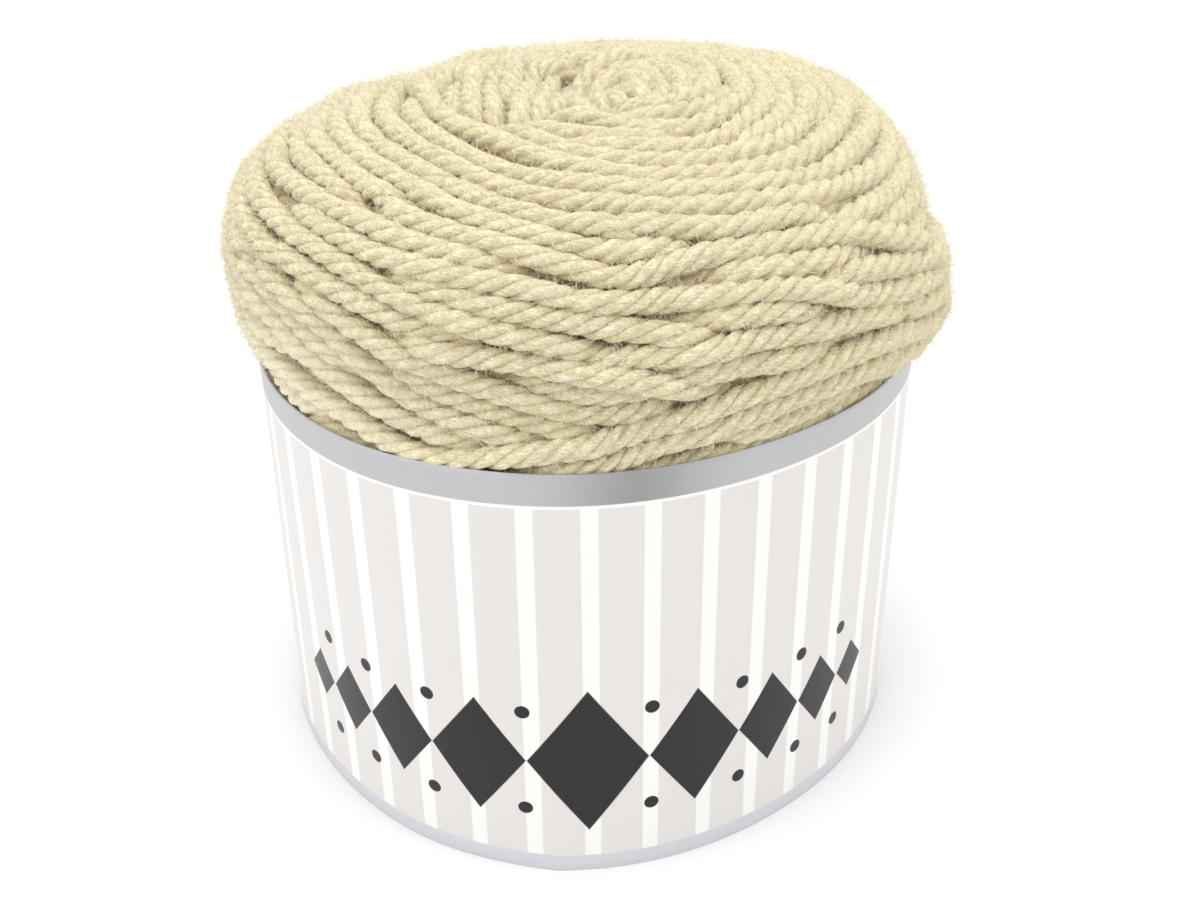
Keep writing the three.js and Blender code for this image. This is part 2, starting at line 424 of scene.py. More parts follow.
def run_on(points, degrees, lean):
    """Carries a course on from its last point round the cake, its own slope fading into the ring's."""
    step = math.radians(RUN_STEP)
    angle, course = turns_of(points[-RUN_LOOK_BACK:])
    sign = math.copysign(1, angle[-1] - angle[0])
    slope = (course[-1] - course[0]) / (angle[-1] - angle[0])
    slope = float(np.clip(slope, -RUN_STEEPEST, RUN_STEEPEST))
    at, height = angle[-1], course[-1]
    over = slope - ring_slope(at, height, lean)
    rows = []
    for k in range(int(degrees / RUN_STEP)):
        fade = math.exp(-(k * step) / RUN_FADE)
        height += sign * step * (ring_slope(at, height, lean) + over * fade)
        at += sign * step
        height = min(max(height, RUN_LOWEST), RUN_HIGHEST)
        rows.append((at, height))
    if not rows:
        return points
    rows = np.array(rows)
    more, _ = form.place(rows[:, 0], rows[:, 1], np.zeros(len(rows)))
    return np.concatenate([points, more])


class Lay:
    """One visible length of the strand, its ends tucked in where they dive."""

    step = 1.3
    reach = 7.0
    dive_length = 12.0
    dip_length = 5.0
    dive_depth = 3.7
    swell_to_card = 0.9
    swell_height = 5.0
    waves = (26.0, 43.0, 70.0)

    def __init__(self, points, dives=(12.0, 12.0), depth=FACE_DEPTH, rank=0.0):
        points = resample(points, self.step)
        for k in (0, 1):
            if dives[1 - k]:
                way = unit(points[-1] - points[-6 if len(points) > 6 else 0])
                reach = self.reach * dives[1 - k] / self.dive_length
                more = points[-1] + way * np.arange(1, int(reach / self.step) + 1)[:, None] * self.step
                points = np.concatenate([points, lay_on_face(more)])
            points = points[::-1]
        times = 4 if min(dives) != self.dip_length else 2
        points = lay_on_face(np.stack([smooth_line(points[:, c], times) for c in range(3)], 1))
        points = resample(points, self.step)
        gone = np.arange(len(points)) * self.step
        sunk = np.zeros(len(points))
        for dive, from_end in ((dives[0], gone), (dives[1], gone[::-1])):
            if dive:
                t = np.clip(1 - from_end / dive, 0, 1)
                sunk = np.maximum(sunk, t * t * (3 - 2 * t))
        self.face = points
        self.sunk = sunk
        self.rank = rank
        _, self.out, course = form.below(points)
        # the lowest lays swell out until they touch the card
        near_card = 1 - np.clip(course / self.swell_height, 0, 1)
        swell = self.swell_to_card * near_card if depth < BED_DEPTH else 0
        self.depth = depth + sunk * self.dive_depth - swell
        self.points = points - self.out * self.depth[:, None]

    def rise_and_fall(self, rng, most):
        """Makes the lay stand prouder and lie deeper by turns, as a loosely wound strand does."""
        gone = np.arange(len(self.points)) * self.step
        wave = sum(rng.normal(0, 0.5) * np.sin(gone * TAU / w + rng.uniform(0, TAU)) for w in self.waves)
        self.depth = self.depth + most * wave * (1 - self.sunk)
        self.points = self.face - self.out * self.depth[:, None]


class Cover:
    """How much of the face is under a lay already, on a grid of angle and course."""

    angle_cells = 240
    course_cell = 0.5
    low = -7.0
    half_width = 1.42
    probe_step = 0.4

    def __init__(self):
        self.cell = TAU / self.angle_cells
        self.n = int((COURSE_TOP - self.low) / self.course_cell)
        self.count = np.zeros((self.angle_cells, self.n), int)
        rows = self.low + (np.arange(self.n) + 0.5) * self.course_cell
        at = ((rows - form.course_start) / form.course_step).astype(int).clip(0, form.n_course - 1)
        angle = np.arange(self.angle_cells) * form.n_angle // self.angle_cells
        self.area = form.radius[angle[:, None], at[None, :]] * self.cell * self.course_cell
        probes = np.arange(-1.4, 1.41, self.probe_step)
        u, v = np.meshgrid(probes, probes)
        inside = np.hypot(u, v) <= self.half_width
        self.u, self.v = u[inside], v[inside]

    def cells(self, points):
        angle, course = turns_of(points)
        r = np.maximum(np.hypot(points[:, 0], points[:, 1]), 1.0)
        i = np.floor((angle[:, None] + self.u / r[:, None]) / self.cell).astype(int) % self.angle_cells
        j = np.floor((course[:, None] + self.v - self.low) / self.course_cell).astype(int)
        return i, j

    def add(self, points):
        i, j = self.cells(resample(points, 0.5))
        ok = (j >= 0) & (j < self.n)
        flat = np.unique(i[ok] * self.n + j[ok])
        self.count.ravel()[flat] += 1

    def open_share(self, points):
        """For each point, how much of the strand's width there lies over nothing yet."""
        i, j = self.cells(points)
        ok = (j >= 0) & (j < self.n)
        free = (self.count[i, np.clip(j, 0, self.n - 1)] == 0) & ok
        return free.mean(1)


def best_run(gain):
    """First and last of the stretch with the greatest sum."""
    best, start, run = (-1e9, 0, 0), 0, 0.0
    for k, g in enumerate(gain):
        if run <= 0:
            run, start = 0.0, k
        run += g
        if run > best[0]:
            best = (run, start, k + 1)
    return best


RING_TURN = np.radians(np.arange(-170, 171, 2.5))
RING_LEAN = 4.2
RING_LOWEST, RING_HIGHEST = -6.5, 79
RING_LEAST_POINTS = 8
NEIGHBOUR_GAP = (2.9, 3.1)
NEIGHBOUR_RUN = 70


def lean_share(course):
    """How much of its lean a ring keeps at a course: all of it on the sides, little on the top."""
    return np.clip(1.1 - course / 75, 0.1, 1)


def ring_points(rng, angle, course):
    """A ring round the cake through one place, low at the front and high at the back."""
    turn = RING_TURN
    low_at = -math.pi / 2 + rng.normal(0, 0.5)
    lean = rng.uniform(0.2, 1.5) * RING_LEAN * lean_share(course)
    at = angle + turn
    high = course + lean * (np.cos(angle - low_at) - np.cos(at - low_at))
    high = high + rng.normal(0, 0.5) * np.sin(2 * turn + rng.uniform(0, TAU))
    keep = (high > RING_LOWEST) & (high < RING_HIGHEST)
    middle = len(turn) // 2
    if not keep[middle]:
        return None
    first = middle - np.argmin(keep[middle::-1]) + 1 if not keep[:middle].all() else 0
    last = middle + np.argmin(keep[middle:]) if not keep[middle:].all() else len(turn)
    if last - first < RING_LEAST_POINTS:
        return None
    return form.place(at[first:last], high[first:last], np.zeros(last - first))[0]


def beside(rng, lay):
    """A line that keeps a strand's width from another lay."""
    core = lay.face[lay.sunk < 0.3]
    if len(core) < 12:
        return None
    line = np.gradient(core, axis=0)
    line /= np.linalg.norm(line, axis=1, keepdims=True)
    _, out, _ = form.below(core)
    side = np.cross(out, line) * rng.choice([-1, 1])
    points = lay_on_face(core + side * rng.uniform(*NEIGHBOUR_GAP))
    lean = rng.normal(0, 1.0)
    points = run_on(points, rng.uniform(0, NEIGHBOUR_RUN), lean)
    return run_on(points[::-1], rng.uniform(0, NEIGHBOUR_RUN), lean)


# How the rest of the face is wound: of so many trial lines the one that covers most bare face is laid,
# until none has covered enough so many times in a row
TRIAL_LINES = 24
MOST_LAYS = 260
MOST_MISSES = 12
NEIGHBOUR_SHARE = 0.55
LEAST_OPEN = 0.55
LEAST_POINTS = 10
LEAST_WORTH = 11
FACE_SEED, BED_SEED, PLAY_SEED, TWIST_SEED, CARD_SEED = 7, 11, 31, 21, 5


def wind_face():
    """All the lays of the outer layer: first the courses that show, then the rest round them."""
    rng = np.random.default_rng(FACE_SEED)
    cover = Cover()
    lays = []

    def put(points, dives, rank):
        lay = Lay(points, dives, rank=rank)
        lays.append(lay)
        cover.add(lay.face[lay.sunk < 0.55])

    for start, points, end in SIDE_COURSES + TOP_COURSES:
        points = finer(seen_on_face(points), Lay.step)
        times = 8 if "dip" not in (start, end) else 2
        points = lay_on_face(np.stack([smooth_line(points[:, c], times) for c in range(3)], 1))
        lean = rng.normal(0, 1.0)
        dives = [Lay.dip_length if rule == "dip" else Lay.dive_length for rule in (start, end)]
        if end not in ("under", "dip"):
            points = run_on(points, end, lean)
        if start not in ("under", "dip"):
            points = run_on(points[::-1], start, lean)[::-1]
        put(points, dives, rng.uniform(0.6, 1))
    misses = 0
    while misses < MOST_MISSES and len(lays) < MOST_LAYS:
        free = (cover.count == 0) * cover.area
        free = free.ravel() / free.sum()
        best = (-1e9, None)
        for spot in rng.choice(len(free), TRIAL_LINES, p=free):
            if rng.random() < NEIGHBOUR_SHARE:
                points = beside(rng, lays[rng.integers(len(lays))])
            else:
                i, j = divmod(int(spot), cover.n)
                points = ring_points(rng, (i + 0.5) * cover.cell, cover.low + (j + 0.5) * cover.course_cell)
            if points is None:
                continue
            points = resample(points, Lay.step)
            share = cover.open_share(points)
            _, first, last = best_run(share - LEAST_OPEN)
            if last - first < LEAST_POINTS:
                continue
            worth = (share[first:last] - 0.3).sum() * Lay.step
            if worth > best[0]:
                best = (worth, points[first:last])
        if best[0] < LEAST_WORTH:
            misses += 1
            continue
        misses = 0
        put(best[1], (Lay.dive_length, Lay.dive_length), rng.uniform(0, 0.55) - 0.002 * len(lays))
    return lays


BED_SPACING = 3.0
BED_LEAN = 2.2
BED_RANK = -2


def wind_bed():
    """The layer just beneath: even turns that lean the other way."""
    rng = np.random.default_rng(BED_SEED)
    lays = []
    for base in np.arange(-8, 80, BED_SPACING):
        angle = rng.uniform(0, TAU) + np.linspace(0, TAU * 0.985, 160)
        lean = -BED_LEAN * lean_share(base)
        course = base + lean * (1 - np.cos(angle + math.pi / 2)) + BED_LEAN
        course = np.clip(course + 0.5 * np.sin(3 * angle + rng.uniform(0, TAU)), -10, 81)
        points, _ = form.place(angle, course, np.zeros(len(angle)))
        lays.append(Lay(points, (0, 0), BED_DEPTH, rank=BED_RANK))
    return lays


PLAY_ON_SIDES = 0.25
MORE_PLAY_ON_TOP = 0.35


def loosen(lays):
    """Lets the lays rise and fall, the top's more than the sides'."""
    rng = np.random.default_rng(PLAY_SEED)
    for lay in lays:
        course = float(np.median(turns_of(lay.face)[1]))
        lay.rise_and_fall(rng, PLAY_ON_SIDES + MORE_PLAY_ON_TOP * min(max((course - 20) / 20, 0), 1))


# Settling: how far apart two points may be to press on each other, how many points along the same lay
# are left out of it, how alike two lays run before they lie side by side, how much of a push the bed
# takes, the room that lays keep, the share of a push made in one round, how far a lay may shift, and how
# deep it stays under the face
PRESS_REACH = STRAND_SPACING + 1.8
SAME_LAY_POINTS = 7
RUN_ALIKE = 0.93
BED_GIVES = 0.2
BED_ROOM, LAY_ROOM = 0.86, 0.9
PUSH = 0.8
SPRING_BACK = 0.05
MOST_ASIDE = 1.4
LEAST_DEPTH_IN_CARD, LEAST_DEPTH = 0.95, 0.55


def settle(lays, rounds):
    """Lets the lays press on one another: side by side where they run alike, over and under where not."""
    start = np.concatenate([x.points for x in lays])
    out = np.concatenate([x.out for x in lays])
    sunk = np.concatenate([x.sunk for x in lays])
    lay_of = np.concatenate([np.full(len(x.points), i) for i, x in enumerate(lays)])
    place_in = np.concatenate([np.arange(len(x.points)) for x in lays])
    rank = np.concatenate([np.full(len(x.points), x.rank) for x in lays])
    ends = np.cumsum([len(x.points) for x in lays])
    back = np.arange(len(start)) - 1
    ahead = np.arange(len(start)) + 1
    back[np.concatenate([[0], ends[:-1]])] += 1
    ahead[ends - 1] -= 1
    line = start[ahead] - start[back]
    line /= np.linalg.norm(line, axis=1, keepdims=True) + 1e-9
    side = np.cross(out, line)
    side /= np.linalg.norm(side, axis=1, keepdims=True) + 1e-9
    tree = KDTree(len(start))
    for i, q in enumerate(start):
        tree.insert(q, i)
    tree.balance()
    a, b = [], []
    for i, q in enumerate(start):
        for _, j, _ in tree.find_range(q, PRESS_REACH):
            if j > i and (lay_of[i] != lay_of[j] or abs(place_in[i] - place_in[j]) > SAME_LAY_POINTS):
                a.append(i)
                b.append(j)
    a, b = np.array(a), np.array(b)
    in_bed = rank == BED_RANK
    keep = ~(in_bed[a] & in_bed[b])
    a, b = a[keep], b[keep]
    bed = in_bed[a] | in_bed[b]
    diving = np.maximum(sunk[a], sunk[b]) > 0.05
    deep_in_bed = bed & (np.maximum(sunk[a], sunk[b]) > 0.45)
    up = out[a] + out[b]
    up /= np.linalg.norm(up, axis=1, keepdims=True)
    order = np.where(rank[a] - rank[b] - 3 * (sunk[a] - sunk[b]) > 0, 1.0, -1.0)
    alike = np.abs((line[a] * line[b]).sum(1))
    aside = np.zeros(len(start))
    lift = np.zeros(len(start))
    give_a = np.where(in_bed[a], BED_GIVES, np.where(in_bed[b], 1 - BED_GIVES, 0.5))
    for _ in range(rounds):
        p = start + side * aside[:, None] + out * lift[:, None]
        gap = p[a] - p[b]
        rise = (gap * up).sum(1)
        flat = gap - up * rise[:, None]
        along = np.clip((flat * line[b]).sum(1), -0.66, 0.66)
        flat = flat - line[b] * along[:, None]
        wide = np.linalg.norm(flat, axis=1) + 1e-6
        far = np.hypot(wide, rise)
        sideways = np.clip((alike - RUN_ALIKE) / 0.05, 0, 1) * np.clip((wide - 0.9) / 0.8, 0, 1)
        sideways = np.where(diving | bed, 0, sideways)
        short = np.clip(STRAND_SPACING - far, 0, 1.5) * sideways
        room = STRAND_SPACING * np.where(bed, BED_ROOM, LAY_ROOM)
        need = np.sqrt(np.maximum(room**2 - wide**2, 0)) - order * rise
        need = np.clip(need, 0, 2.5) * (1 - sideways)
        need = np.where(deep_in_bed, 0, need)
        way_a = (flat * side[a]).sum(1) / wide
        way_b = (flat * side[b]).sum(1) / wide
        move_side, move_up, hits_side, hits_up = (np.zeros(len(start)) for _ in range(4))
        np.add.at(move_side, a, short * give_a * way_a)
        np.add.at(move_side, b, -short * (1 - give_a) * way_b)
        np.add.at(move_up, a, order * need * give_a)
        np.add.at(move_up, b, -order * need * (1 - give_a))
        for hits, had in ((hits_side, short > 0), (hits_up, need > 0)):
            np.add.at(hits, a, had)
            np.add.at(hits, b, had)
        aside = aside + PUSH * move_side / np.maximum(hits_side, 1)
        lift = lift + PUSH * move_up / np.maximum(hits_up, 1) - SPRING_BACK * lift
        for _ in range(3):
            aside = aside * 0.5 + (aside[back] + aside[ahead]) * 0.25
        lift = lift * 0.6 + (lift[back] + lift[ahead]) * 0.2
        aside = np.clip(aside, -MOST_ASIDE, MOST_ASIDE)
    p = start + side * aside[:, None] + out * lift[:, None]
    depth, normal, _ = form.below(p)
    least = np.where(p[:, 2] < BAND_HEIGHT, LEAST_DEPTH_IN_CARD, LEAST_DEPTH)
    p = p - normal * np.maximum(least - depth, 0)[:, None]
    depth, _, _ = form.below(p)
    for x, begin, stop in zip(lays, np.concatenate([[0], ends[:-1]]), ends):
        x.points = p[begin:stop]
        x.lies = depth[begin:stop]


def finer(points, step):
    """Catmull-Rom through the points, then points a step apart."""
    p = np.concatenate([[2 * points[0] - points[1]], points, [2 * points[-1] - points[-2]]])
    t = np.linspace(0, 1, 5)[:-1][:, None, None]
    a, b, c, d = p[:-3], p[1:-2], p[2:-1], p[3:]
    q = 0.5 * (2 * b + (c - a) * t + (2 * a - 5 * b + 4 * c - d) * t**2 + (3 * b - a - 3 * c + d) * t**3)
    q = np.concatenate([q.transpose(1, 0, 2).reshape(-1, points.shape[1]), points[-1:]])
    return resample(q, step)


# Node helpers
def reckon(operation, from_right=False):
    """A method that adds one Math node. The reflected forms have their own value second."""

    def step(self, *others):
        values = (*others, self) if from_right else (self, *others)
        return self.sheet.add("ShaderNodeMath", {"operation": operation}, dict(enumerate(values)))

    return step


class Value:
    """A socket that takes part in sums."""

    def __init__(self, sheet, socket):
        self.sheet, self.socket = sheet, socket

    __add__ = __radd__ = reckon("ADD")
    __mul__ = __rmul__ = reckon("MULTIPLY")
    __sub__ = reckon("SUBTRACT")
    __rsub__ = reckon("SUBTRACT", True)
    __truediv__ = reckon("DIVIDE")
    __rtruediv__ = reckon("DIVIDE", True)
    __pow__ = reckon("POWER")

    def __neg__(self):
        return self * -1.0

    def sum(self, operation, *others):
        return reckon(operation)(self, *others)

    def out(self, name):
        return Value(self.sheet, self.socket.node.outputs[name])

    def ramp(self, low, high, smooth=True):
        """0 below low, 1 above high."""
        return self.sheet.add(
            "ShaderNodeMapRange",
            {"interpolation_type": "SMOOTHSTEP" if smooth else "LINEAR"},
            {"Value": self, "From Min": low, "From Max": high},
        )


class Sheet:
    """A node tree that nodes are added to."""

    def __init__(self, tree):
        self.tree = tree

    def add(self, kind, settings=None, values=None, out=0):
        node = self.tree.nodes.new(kind)
        for key, value in (settings or {}).items():
            setattr(node, key, value)
        for key, value in (values or {}).items():
            socket = node.inputs[key]
            if isinstance(value, Value):
                self.tree.links.new(value.socket, socket)
            else:
                socket.default_value = value
        return Value(self, node.outputs[out])

    def noise(self, vector, scale, detail=2.0, roughness=0.5, out="Fac"):
        return self.add(
            "ShaderNodeTexNoise", None,
            {"Vector": vector, "Scale": scale, "Detail": detail, "Roughness": roughness}, out,
        )

    def vector(self, x, y, z):
        return self.add("ShaderNodeCombineXYZ", None, {0: x, 1: y, 2: z})

    def parts(self, vector):
        split = self.add("ShaderNodeSeparateXYZ", None, {0: vector})
        return split, split.out("Y"), split.out("Z")

    def vectors(self, operation, a, b):
        second = "Scale" if operation == "SCALE" else 1
        out = "Value" if operation in ("DOT_PRODUCT", "LENGTH", "DISTANCE") else 0
        return self.add("ShaderNodeVectorMath", {"operation": operation}, {0: a, second: b}, out)

    def blend(self, factor, a, b):
        """Colours a and b mixed."""
        a, b = (c if isinstance(c, Value) else (*c, 1.0) for c in (a, b))
        return self.add("ShaderNodeMix", {"data_type": "RGBA"}, {0: factor, 6: a, 7: b}, 2)

    def attribute(self, name, out="Fac"):
        return self.add("ShaderNodeAttribute", {"attribute_name": name}, None, out)


# Sweeping strands. Hairs are the loose fibre ends that stand off them.
HAIR_LENGTH = 2.8
HAIR_THICKNESS = 0.075
HAIR_ROOT_SHARE = 0.15
HAIRS_TO_DEPTH = 3.6
HAIRS_ABOVE_CARD = 1.5
HAIRS_PER_SQUARE_METRE = 2800000.0
HEART = (0.0, 0.0, 50 * MM)


def fluffed_and_washed_out_side(across, back, height):
    """From 0 to 1 on the right, back, top and far left, where the strands are fluffed up and where painted
    light washes out the shade between them.
    """
    from_middle = (across * across + back * back).sum("SQRT")
    top = height.ramp(85 * MM, 104 * MM) * (from_middle.ramp(14 * MM, 28 * MM) * 0.32 + 0.32)
    upper_left = (-across).ramp(8 * MM, 32 * MM) * back.ramp(-24 * MM, 2 * MM)
    upper_left = upper_left * height.ramp(80 * MM, 94 * MM)
    lower_left = (-across).ramp(32 * MM, 50 * MM) * (1.0 - height.ramp(78 * MM, 92 * MM)) * 1.3
    right = (across + back * 0.8) / (50 * MM) + 0.28 + top
    return right.sum("MAXIMUM", lower_left).sum("MAXIMUM", upper_left).ramp(0.0, 1.0, False)


def with_hairs(g, body, density, where, normal, named):
    """Adds the loose fibre ends on the outer side of the strands."""

    def chance(kind, low, high, seed):
        first = 0 if kind == "FLOAT_VECTOR" else 2
        out = 0 if kind == "FLOAT_VECTOR" else 1
        return g.add(
            "FunctionNodeRandomValue", {"data_type": kind}, {first: low, first + 1: high, "Seed": seed}, out
        )

    outward = g.vectors("SUBTRACT", where, HEART)
    faces_out = g.vectors("DOT_PRODUCT", normal, g.vectors("NORMALIZE", outward, (0, 0, 0)))
    body = g.add(
        "GeometryNodeStoreNamedAttribute", {"data_type": "FLOAT", "domain": "POINT"},
        {"Geometry": body, "Name": "buried", "Value": named("sunk") - faces_out * STRAND_RADIUS},
    )
    near = named("sunk").sum("LESS_THAN", HAIRS_TO_DEPTH)
    _, _, height = g.parts(where)
    clear = height.sum("GREATER_THAN", (BAND_HEIGHT + HAIRS_ABOVE_CARD) * MM)
    chosen = faces_out.sum("GREATER_THAN", 0.05) * near * clear
    points = g.add(
        "GeometryNodeDistributePointsOnFaces", {"distribute_method": "RANDOM"},
        {"Mesh": body, "Selection": chosen, "Density": density, "Seed": 3},
    )
    normal_there = points.out("Normal")
    points = g.add(
        "GeometryNodeStoreNamedAttribute", {"data_type": "FLOAT", "domain": "POINT"},
        {"Geometry": points, "Name": "hair", "Value": chance("FLOAT", 0.25, 1.0, 10)},
    )
    lean = g.vectors("SCALE", normal_there, chance("FLOAT", 0.1, 0.7, 5))
    flow = g.vectors("SCALE", named("flow", "FLOAT_VECTOR"), chance("FLOAT", -0.9, 0.9, 6))
    way = g.vectors("ADD", flow, chance("FLOAT_VECTOR", (-0.8, -0.8, -0.8), (0.8, 0.8, 0.8), 7))
    turn = g.add("FunctionNodeAlignRotationToVector", {"axis": "Z"}, {"Vector": g.vectors("ADD", way, lean)})
    spin = chance("FLOAT", 0.0, TAU, 8)
    roll = g.add("FunctionNodeAxisAngleToRotation", None, {"Axis": (0, 0, 1), "Angle": spin})
    turn = g.add("FunctionNodeRotateRotation", {"rotation_space": "LOCAL"}, {0: turn, 1: roll})
    hair = g.add(
        "GeometryNodeMeshCone", {"fill_type": "NGON"},
        {"Vertices": 3, "Side Segments": 1, "Radius Top": 0.0, "Radius Bottom": HAIR_THICKNESS * MM / 2,
         "Depth": HAIR_LENGTH * MM},
    )
    root = (0, 0, -HAIR_LENGTH * MM * HAIR_ROOT_SHARE)
    hair = g.add("GeometryNodeTransform", None, {"Geometry": hair, "Translation": root})
    spread = g.add(
        "GeometryNodeInstanceOnPoints", None,
        {"Points": points, "Instance": hair, "Rotation": turn, "Scale": chance("FLOAT", 0.45, 1.3, 9)},
    )
    both = g.tree.nodes.new("GeometryNodeJoinGeometry")
    g.tree.links.new(spread.socket, both.inputs[0])
    g.tree.links.new(body.socket, both.inputs[0])
    return Value(g, both.outputs[0])


def sweep_tree(name, corners, material):
    """A tree that turns edges with their attributes into closed, twisted strands."""
    tree = bpy.data.node_groups.new(name, "GeometryNodeTree")
    tree.interface.new_socket("Geometry", in_out="INPUT", socket_type="NodeSocketGeometry")
    ply_size = tree.interface.new_socket("Ply Size", in_out="INPUT", socket_type="NodeSocketFloat")
    roughen = tree.interface.new_socket("Roughen", in_out="INPUT", socket_type="NodeSocketFloat")
    hairs = tree.interface.new_socket("Hairs", in_out="INPUT", socket_type="NodeSocketFloat")
    tree.interface.new_socket("Geometry", in_out="OUTPUT", socket_type="NodeSocketGeometry")
    g = Sheet(tree)
    given = g.add("NodeGroupInput", None, None, "Geometry")
    size = given.out("Ply Size")

    def named(attribute, kind="FLOAT"):
        return g.add("GeometryNodeInputNamedAttribute", {"data_type": kind}, {"Name": attribute})

    line = g.add("GeometryNodeMeshToCurve", None, {"Mesh": given})
    line = g.add("GeometryNodeSetCurveTilt", None, {"Curve": line, "Tilt": named("twist")})
    line = g.add(
        "GeometryNodeStoreNamedAttribute", {"data_type": "FLOAT_VECTOR", "domain": "POINT"},
        {"Geometry": line, "Name": "flow", "Value": g.add("GeometryNodeInputTangent")},
    )
    ring = g.add(
        "GeometryNodeCurvePrimitiveCircle", {"mode": "RADIUS"}, {"Resolution": corners, "Radius": 1.0}
    )
    index = g.add("GeometryNodeInputIndex")
    angle = index * (TAU / corners)
    # the outline of a bundle of round plies
    part = TAU / PLIES
    off = (angle / part).sum("FRACT") * part - part / 2
    inner = 1.0 - size
    edge = off.sum("SINE") * inner
    reach = off.sum("COSINE") * inner + (size * size - edge * edge).sum("MAXIMUM", 0.0).sum("SQRT")
    groove = (off / (part / 2)).sum("ABSOLUTE")
    spot = g.vector(angle.sum("COSINE") * reach, angle.sum("SINE") * reach, 0.0)
    ring = g.add("GeometryNodeSetPosition", None, {"Geometry": ring, "Position": spot})
    for label, value in (("groove", groove), ("around", angle)):
        ring = g.add(
            "GeometryNodeStoreNamedAttribute", {"data_type": "FLOAT", "domain": "POINT"},
            {"Geometry": ring, "Name": label, "Value": value},
        )
    body = g.add(
        "GeometryNodeCurveToMesh", None,
        {"Curve": line, "Profile Curve": ring, "Scale": named("thickness"), "Fill Caps": True},
    )
    round_strand = named("around") + named("twist")
    fibre = g.vector(round_strand.sum("COSINE"), round_strand.sum("SINE"), named("along"))
    body = g.add(
        "GeometryNodeStoreNamedAttribute", {"data_type": "FLOAT_VECTOR", "domain": "POINT"},
        {"Geometry": body, "Name": "fibre", "Value": fibre},
    )
    where = g.add("GeometryNodeInputPosition")
    normal = g.add("GeometryNodeInputNormal")
    lumps = g.noise(where, 620.0, 1.5)
    # the valley between two plies is full of fluff in some places and open in others
    fluffed_and_washed_out = fluffed_and_washed_out_side(*g.parts(where))
    fluffed = g.noise(where, 240.0, 1.0).ramp(0.42, 0.7) * named("groove").ramp(0.45, 1.0)
    fluffed = fluffed * (fluffed_and_washed_out * 0.3 + 0.05)
    shove = g.vectors("SCALE", normal, (lumps - 0.5 + fluffed) * given.out("Roughen"))
    body = g.add("GeometryNodeSetPosition", None, {"Geometry": body, "Offset": shove})
    body = with_hairs(g, body, given.out("Hairs"), where, normal, named)
    body = g.add("GeometryNodeRealizeInstances", None, {"Geometry": body})
    body = g.add("GeometryNodeSetMaterial", None, {"Geometry": body, "Material": material})
    body = g.add("GeometryNodeSetShadeSmooth", None, {"Geometry": body, "Shade Smooth": True})
    end = tree.nodes.new("NodeGroupOutput")
    tree.links.new(body.socket, end.inputs["Geometry"])
    return tree, {"size": ply_size.identifier, "roughen": roughen.identifier, "hairs": hairs.identifier}


def sweep(name, paths, corners, material, ply_size, roughen=0.0, hairs=0.0):
    """One piece made of many strands.

    A path has the columns x, y, z, thickness, twist, along, tone and sunk, in mm and radians.
    """
    rows = np.concatenate(paths)
    starts = np.cumsum([0] + [len(p) for p in paths])
    inner = np.ones(len(rows) - 1, bool)
    inner[starts[1:-1] - 1] = False
    a = np.arange(len(rows) - 1)[inner]
    mesh = bpy.data.meshes.new(name + "_lines")
    mesh.vertices.add(len(rows))
    mesh.vertices.foreach_set("co", (rows[:, :3] * MM).astype(np.float32).ravel())
    mesh.edges.add(len(a))
    mesh.edges.foreach_set("vertices", np.stack([a, a + 1], 1).astype(np.int32).ravel())
    for k, label in enumerate(("thickness", "twist", "along", "tone", "sunk"), 3):
        column = mesh.attributes.new(label, "FLOAT", "POINT")
        scale = MM if label == "thickness" else 1
        column.data.foreach_set("value", (rows[:, k] * scale).astype(np.float32))
    mesh.update()
    lines = bpy.data.objects.new(name + "_lines", mesh)
    bpy.context.scene.collection.objects.link(lines)
    tree, keys = sweep_tree(name + "_sweep", corners, material)
    modifier = lines.modifiers.new("sweep", "NODES")
    modifier.node_group = tree
    modifier[keys["size"]] = ply_size
    modifier[keys["roughen"]] = roughen * MM
    modifier[keys["hairs"]] = hairs
    made = bpy.data.meshes.new_from_object(lines.evaluated_get(bpy.context.evaluated_depsgraph_get()))
    made.name = name
    piece = bpy.data.objects.new(name, made)
    bpy.context.scene.collection.objects.link(piece)
    bpy.data.objects.remove(lines)
    return piece


# Wave lengths, in mm, and sizes of the strand's thick and thin places and of its looser and tighter twist
THICK_WAVES, THICK_PLAY = (9.0, 14.0, 23.0, 41.0), 0.05
TWIST_WAVES, TWIST_PLAY = (17.0, 31.0, 60.0), 0.22


